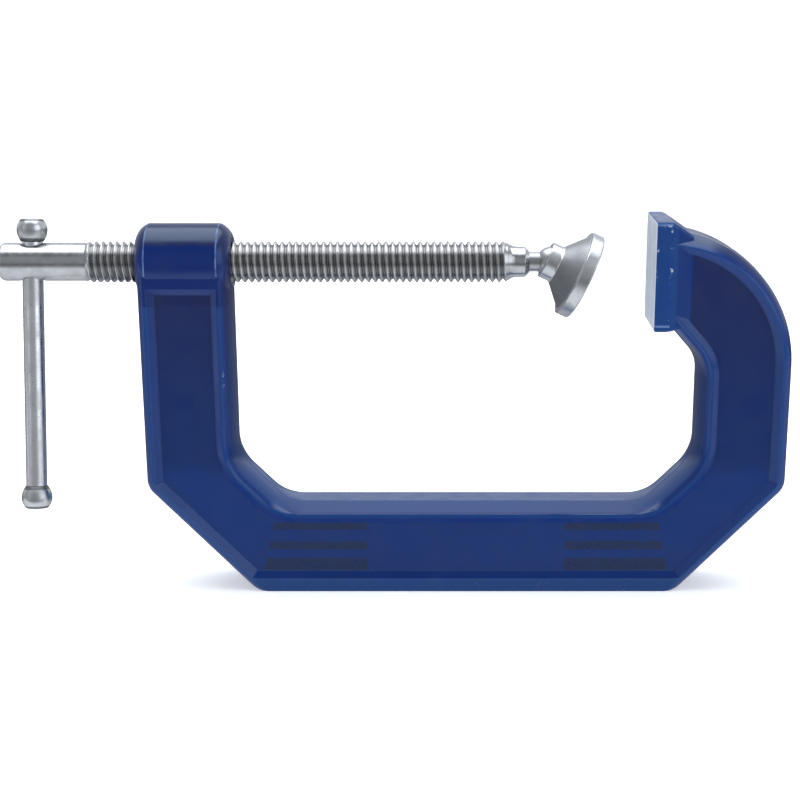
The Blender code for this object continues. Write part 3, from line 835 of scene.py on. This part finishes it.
# Printed stripes on the front of the spine: heights from low to high, and ends
STRIPE_HEIGHTS = ((6.6 * MM, 10.7 * MM), (13.5 * MM, 16.4 * MM), (20.1 * MM, 22.6 * MM))
STRIPE_INNER_X = 31.0 * MM
STRIPE_OUTER_X = 65.3 * MM  # at the foot; the ends lean in with the corner cuts
STRIPE_LEAN = 0.2


def recess_floor(nodes, y):
    """Mask of the recess floors, with the lips that meet them."""
    return nodes.below(nodes.math("ABSOLUTE", y), HALF_DEPTH - RECESS_DEPTH + LIP_DEPTH)


def anvil_plate(nodes, x, z):
    """Mask of the anvil plate."""
    along_screw = nodes.below(nodes.off(x, ANVIL_X), ANVIL_PLATE + ANVIL_ROUNDING)
    return nodes.all_of(along_screw, nodes.above(z, ANVIL_BOTTOM_Z - ANVIL_ROUNDING))


def blue_paint(nodes, place):
    """Clouded blue: lighter on rims and flanks as painted light, darker on the boss as painted
    shade, and darker on the uprights' panels.
    """
    x, y, z = nodes.axes(place)
    blue = nodes.mix(nodes.noise(place, *CLOUDS), BLUE, BLUE_CLOUD)
    off_boss = nodes.any_of(nodes.above(x, 0.0), nodes.below(z, AXIS_Z - BOSS_RADIUS))
    # Painted shade: the boss and the top of the left upright are a darker blue.
    blue = nodes.mix(off_boss, SHADED_BOSS_BLUE, blue)

    # Rims and flanks are painted lighter: painted light where they catch the studio's light.
    from_parting = nodes.math("ABSOLUTE", y)
    rims = nodes.ramp(from_parting, HALF_DEPTH - LIP_DEPTH, HALF_DEPTH)
    flanks = nodes.below(from_parting, HALF_DEPTH - RECESS_DEPTH - FIT_GAP)
    lighter = nodes.all_of(nodes.any_of(rims, flanks), off_boss)
    blue = nodes.mix(lighter, blue, LIT_RIM_BLUE)

    # The panels of the uprights turn browner towards their tops.
    past_anvil = nodes.above(nodes.math("ABSOLUTE", x), SHOULDER_END_X)
    above_foot = nodes.ramp(z, *PANEL_FOOT_Z)
    panels = nodes.all_of(recess_floor(nodes, y), past_anvil, above_foot)
    panel_colour = nodes.mix(nodes.ramp(z, *PANEL_BROWN_Z), PANEL_BLUE, PANEL_BROWN)
    return nodes.mix(nodes.times(panels, PANEL_SHARE), blue, panel_colour)


def printed_stripes(nodes, place):
    """Mask of the stripes, with ends that lean as the casting's corners do."""
    x, y, z = nodes.axes(place)
    bands = []
    for low, top in STRIPE_HEIGHTS:
        bands.append(nodes.below(nodes.off(z, (low + top) / 2), (top - low) / 2))
    side = nodes.math("ABSOLUTE", x)
    outer_end = nodes.math("MULTIPLY_ADD", z, -STRIPE_LEAN, STRIPE_OUTER_X)
    return nodes.all_of(
        nodes.any_of(*bands),
        nodes.above(side, STRIPE_INNER_X),
        nodes.below(side, outer_end),
        nodes.below(y, -HALF_DEPTH / 2),
        recess_floor(nodes, y),
        nodes.patches(place, *INK_WEAR),
    )


def paint_chips(nodes, place):
    """Mask of chips on the sharper edges, where a coarse and a fine noise both run high."""
    x, _, z = nodes.axes(place)
    plate = anvil_plate(nodes, x, z)
    plate_edges = nodes.any_of(
        nodes.near(x, PLATE_BACK_X, CHIP_REACH),
        nodes.near(z, PLATE_TOP_Z, CHIP_REACH),
        nodes.near(z, PLATE_FOOT_Z, CHIP_REACH),
    )
    pointiness = nodes.add("ShaderNodeNewGeometry", output="Pointiness")
    sharp = nodes.ramp(pointiness, *SHARP_EDGE)
    edges = nodes.any_of(sharp, nodes.all_of(plate, plate_edges))
    plate_wear = nodes.all_of(plate, nodes.patches(place, *PLATE_WEAR))
    coarse = nodes.any_of(nodes.patches(place, *CHIP_PATCH), plate_wear)
    return nodes.all_of(edges, coarse, nodes.patches(place, *CHIP_SPECK))


def painted_edge_highlights(nodes, place):
    """Mask of painted highlights: the creases round the boss, and lines across the anvil plate."""
    x, _, z = nodes.axes(place)
    crease = nodes.near(nodes.off(x, BOSS_MIDDLE_X), HALF_BOSS - BOSS_END_LENGTH, HALF_CREASE)
    creases = nodes.all_of(crease, nodes.above(z, AXIS_Z - CREASE_BELOW_AXIS))
    across = nodes.any_of(
        nodes.near(z, PLATE_TOP_Z, HALF_HIGHLIGHT_LINE),
        nodes.near(z, PLATE_FOOT_Z, HALF_HIGHLIGHT_LINE),
    )
    lines = nodes.all_of(across, anvil_plate(nodes, x, z), nodes.below(x, PLATE_BACK_X))
    return nodes.all_of(nodes.any_of(creases, lines), nodes.patches(place, *HIGHLIGHT_PATCHES))


def enamel():
    """Glossy blue paint on a casting, with printed stripes, wear, painted highlights on creases
    and edges, and an unpainted ground clamping face whose pale colour is a painted reflection.
    """
    nodes = new_material("blue_enamel")
    place = nodes.place()
    x, _, z = nodes.axes(place)
    stripes = printed_stripes(nodes, place)
    chips = paint_chips(nodes, place)
    # The clamping face is unpainted ground metal; its pale colour is a painted reflection of the
    # bright studio at a graze.
    at_face = nodes.below(nodes.off(x, ANVIL_X), BARE_REFLECTION_DEPTH)
    bare_face_reflection = nodes.all_of(at_face, nodes.above(z, ANVIL_BOTTOM_Z))
    grain = nodes.noise(nodes.stretched(place, GRAIN_SCALE), *GRAIN)
    colour = nodes.mix(stripes, blue_paint(nodes, place), STRIPE_INK)
    colour = nodes.mix(chips, colour, CHIPPED)
    # Painted highlights: light lines on the boss's creases and across the anvil plate.
    colour = nodes.mix(painted_edge_highlights(nodes, place), colour, HIGHLIGHT_BLUE)
    colour = nodes.mix(bare_face_reflection, colour, nodes.mix(grain, GROUND_REFLECTION_DARK, GROUND_REFLECTION_LIGHT))
    waves = nodes.noise(place, *WAVES)
    height = nodes.math("MULTIPLY_ADD", nodes.noise(place, *PEEL), PEEL_SHARE, waves)
    height = nodes.math("MULTIPLY_ADD", chips, -CHIP_DEPTH, height)
    gloss = nodes.patches(place, *ENAMEL_GLOSS)
    inputs = {
        "Base Color": colour,
        "Roughness": nodes.math("MULTIPLY_ADD", stripes, INK_DULLNESS, gloss),
        "IOR": PAINT_IOR,
        "Specular Tint": SHEEN_TINT,
        "Normal": nodes.bump(height, *ENAMEL_BUMP),
    }
    return finish_material(nodes, inputs)


# Steel of the screw, with noise written as for the enamel
HEAD_LIGHT = (0.60, 0.60, 0.61, 1.0)
HEAD_DARK = (0.50, 0.50, 0.50, 1.0)
# Painted shade in the roots of the thread, painted highlight on its crests
THREAD_ROOT_SHADE = (0.26, 0.257, 0.253, 1.0)
THREAD_CREST_HIGHLIGHT = (0.66, 0.655, 0.65, 1.0)
GRIME = (260.0, 5.0, 0.3, 0.75)
SCREW_GLOSS = (420.0, 4.0, 0.3, 0.7, 0.18, 0.28)
THREAD_DULLNESS = 0.06  # roughness that the thread adds
TURNING = (1.0, 3.0, 0.6)
TURNING_SCALE = (9000.0, 60.0, 60.0)  # marks run round the screw
SCREW_BUMP = (0.06, 0.2 * MM)


def thread_steel():
    """Plated steel with painted light and shade in the thread: light on the crests as a painted
    highlight, dark down in the roots as painted shade.
    """
    nodes = new_material("rolled_steel")
    place = nodes.place()
    x, y, z = nodes.axes(place)
    radius = nodes.radius(y, nodes.math("SUBTRACT", z, AXIS_Z))
    in_thread = nodes.all_of(
        nodes.ramp(x, HEAD_END_X, HEAD_END_X + PITCH),
        nodes.ramp(x, THREAD_END_X, THREAD_END_X - PITCH),
    )
    plain = nodes.mix(nodes.patches(place, *GRIME), HEAD_LIGHT, HEAD_DARK)
    # Painted shade in the thread's roots and a painted highlight on its crests.
    rise = nodes.ramp(radius, ROOT_RADIUS, SCREW_RADIUS)
    thread = nodes.mix(rise, THREAD_ROOT_SHADE, THREAD_CREST_HIGHLIGHT)
    marks = nodes.noise(nodes.stretched(place, TURNING_SCALE), *TURNING)
    gloss = nodes.patches(place, *SCREW_GLOSS)
    inputs = {
        "Base Color": nodes.mix(in_thread, plain, thread),
        "Roughness": nodes.math("MULTIPLY_ADD", in_thread, THREAD_DULLNESS, gloss),
        "Metallic": 1.0,
        "Normal": nodes.bump(marks, *SCREW_BUMP),
    }
    return finish_material(nodes, inputs)


# Steel of the other pieces: the light and the smudged colour of each, then wear and rings
# Painted light: the tommy bar's steel is a lighter copy of the knobs' steel, for the light that it
# catches.
LIT_BAR_STEEL = ((0.87, 0.88, 0.89, 1.0), (0.74, 0.74, 0.75, 1.0))
KNOB_STEEL = ((0.68, 0.69, 0.70, 1.0), (0.56, 0.56, 0.57, 1.0))
PAD_STEEL = ((0.66, 0.67, 0.68, 1.0), (0.54, 0.54, 0.55, 1.0))
STUD_STEEL = ((0.50, 0.50, 0.51, 1.0), (0.40, 0.40, 0.40, 1.0))
PIT_COLOUR = (0.16, 0.15, 0.14, 1.0)
DARKENED_COLOUR = (0.14, 0.14, 0.145, 1.0)
SMUDGE = (190.0, 5.0, 0.35, 0.7)
PITS = (1500.0, 3.0, 0.62, 0.74)
PIT_SHARE = 0.5
RING_SCALE = 7000.0  # waves to the metre along a piece's profile
RINGS = (1.0, 3.0, 0.65)
STEEL_GLOSS = (0.2, 0.8, 0.26, 0.4)  # limits and ends of the ramp over rings and smudges
STEEL_BUMP = (0.05, 0.2 * MM)
DARKENING_FADE = 0.25 * MM  # width over which a darkened place ends
DULL_ROUGHNESS = 0.12  # that it adds

# Places made darker and rougher: (inner radius, outer radius, top, share of the darkened colour)
DULL_CONE = (
    COLLAR_RADIUS + SEAT_GAP,
    PAD_RADIUS - PAD_SEAT_STEP,
    PAD_REACH - PAD_RIM / 2,
    0.6,
)
# On the knobs this darkening is painted shade on both ends, which tones down the soft box's
# reflection on their tops.
DULL_SHADED_KNOB_ENDS = (0.0, 0.87 * KNOB_RADIUS, 2 * KNOB_LENGTH, 0.9)


def turned_steel(name, light, smudged, darkening=None):
    """Steel with fine turning rings round the piece's own axis, smudges and pits."""
    nodes = new_material(name)
    place = nodes.place()
    x, y, z = nodes.axes(place)
    radius = nodes.radius(y, x)
    profile = nodes.times(nodes.math("ADD", z, radius), RING_SCALE)
    rings = nodes.noise(nodes.add("ShaderNodeCombineXYZ", {"X": profile}), *RINGS)
    smudge = nodes.patches(place, *SMUDGE)
    pits = nodes.times(nodes.patches(place, *PITS), PIT_SHARE)
    colour = nodes.mix(smudge, light, smudged)
    colour = nodes.mix(pits, colour, PIT_COLOUR)
    gloss = nodes.ramp(nodes.times(nodes.math("ADD", rings, smudge), 0.5), *STEEL_GLOSS)
    # Darker, rougher places: painted shade on the knobs' ends, and a darker cone on the pad.
    if darkening:
        inner, outer, top, share = darkening
        within = nodes.ramp(radius, outer - DARKENING_FADE, outer, 1.0, 0.0)
        darkened_place = nodes.all_of(within, nodes.above(radius, inner), nodes.below(z, top))
        colour = nodes.mix(nodes.times(darkened_place, share), colour, DARKENED_COLOUR)
        gloss = nodes.math("MULTIPLY_ADD", darkened_place, DULL_ROUGHNESS, gloss)
    inputs = {
        "Base Color": colour,
        "Roughness": gloss,
        "Metallic": 1.0,
        "Normal": nodes.bump(rings, *STEEL_BUMP),
    }
    return finish_material(nodes, inputs)


# Stage

FLOOR_FLAT = 7.0
FLOOR_SWEEP = 3.6
FLOOR_COLOUR = (0.86, 0.86, 0.86, 1.0)
FLOOR_ROUGHNESS = 0.9
FLOOR_GLOW = 0.42
WHITE = (1.0, 1.0, 1.0, 1.0)

# Brightness of the studio by degrees about the X axis: from the front horizon, under the clamp,
# to the back horizon at 0, over the top and back to the front
STUDIO_STRENGTH = 1.6
STUDIO_TINT = (0.95, 1.0, 1.07, 1.0)
ROOM = (
    (-180.0, 0.12),
    (-166.0, 0.13),
    (-146.0, 0.64),
    (-90.0, 0.56),
    (-34.0, 0.3),
    (-24.0, 0.12),
    (-4.0, 0.1),
    (2.0, 0.4),
    (8.0, 0.5),
    (15.0, 0.42),
    (44.0, 0.42),
    (110.0, 0.2),
    (128.0, 0.13),
    (180.0, 0.12),
)
SOFT_BOX = (
    (46.0, 0.0),
    (54.0, 1.4),
    (80.0, 2.0),
    (101.0, 2.0),
    (111.0, 0.2),
    (116.0, 0.0),
)
SOFT_BOX_END = (0.5, 0.62)  # sideways part of a direction where the box fades out

# Upright white cards in front: brightness by degrees from straight ahead of the clamp,
# and the heights over which their feet and their tops fade, as parts of a direction
CARDS = (
    (-75.0, 0.0),
    (-62.0, 0.3),
    (-42.0, 0.3),
    (-30.0, 0.1),
    (30.0, 0.1),
    (46.0, 0.85),
    (72.0, 0.85),
    (88.0, 0.0),
)
CARD_FOOT = (-0.06, 0.06)
CARD_TOP = (0.55, 0.72)


def build_floor():
    """Pale floor, flat round the clamp, that sweeps up far away on all sides."""
    sweep = arc(FLOOR_SWEEP, -math.pi / 2, -math.pi / 4, (FLOOR_FLAT, FLOOR_SWEEP))
    floor = new_object("floor", turned_mesh("floor", [(0.0, 0.0), *sweep]))
    inputs = {
        "Base Color": FLOOR_COLOUR,
        "Roughness": FLOOR_ROUGHNESS,
        "Emission Color": WHITE,
        "Emission Strength": FLOOR_GLOW,
    }
    floor.data.materials.append(finish_material(new_material("floor"), inputs))
    floor.visible_glossy = False


def build_world():
    """Studio: a soft box above, a pale sweep below and behind, a dim room and cards in front."""
    nodes = Nodes(bpy.data.worlds.new("studio"))
    x, y, z = nodes.axes(nodes.place("Generated"))
    along_box = nodes.ramp(nodes.math("ABSOLUTE", x), *SOFT_BOX_END, 1.0, 0.0)
    soft_box = nodes.times(nodes.by_angle(z, y, SOFT_BOX), along_box)
    upright = nodes.times(nodes.ramp(z, *CARD_FOOT), nodes.ramp(z, *CARD_TOP, 1.0, 0.0))
    cards = nodes.times(nodes.by_angle(x, nodes.times(y, -1.0), CARDS), upright)
    light = nodes.math("ADD", nodes.by_angle(z, y, ROOM), soft_box)
    light = nodes.times(nodes.math("ADD", light, cards), STUDIO_STRENGTH)
    inputs = {"Color": STUDIO_TINT, "Strength": light}
    bpy.context.scene.world = nodes.finish("Background", inputs)


def build_camera():
    data = bpy.data.cameras.new("camera")
    data.sensor_width = SENSOR
    data.lens = FOCAL_PIXELS / PICTURE * SENSOR
    data.shift_x = (PICTURE / 2 - CENTRE_PIXEL_X) / PICTURE
    data.clip_start = CLIP_START
    camera = new_object("camera", data)
    camera.location = CAMERA_PLACE
    camera.rotation_euler = (math.pi / 2 - CAMERA_PITCH, 0.0, 0.0)
    bpy.context.scene.camera = camera


# The bar's lighter steel is painted light.
bright_steel = turned_steel("bright_steel", *LIT_BAR_STEEL)
knob_steel = turned_steel("knob_steel", *KNOB_STEEL, DULL_SHADED_KNOB_ENDS)
pad_steel = turned_steel("pad_steel", *PAD_STEEL, DULL_CONE)
stud_steel = turned_steel("stud_steel", *STUD_STEEL)
build_frame(enamel())
build_screw(thread_steel())
build_ball_stud(stud_steel)
build_pad(pad_steel)
build_handle(bright_steel, knob_steel)
build_floor()
build_world()
build_camera()
bpy.context.scene.view_settings.view_transform = "Standard"
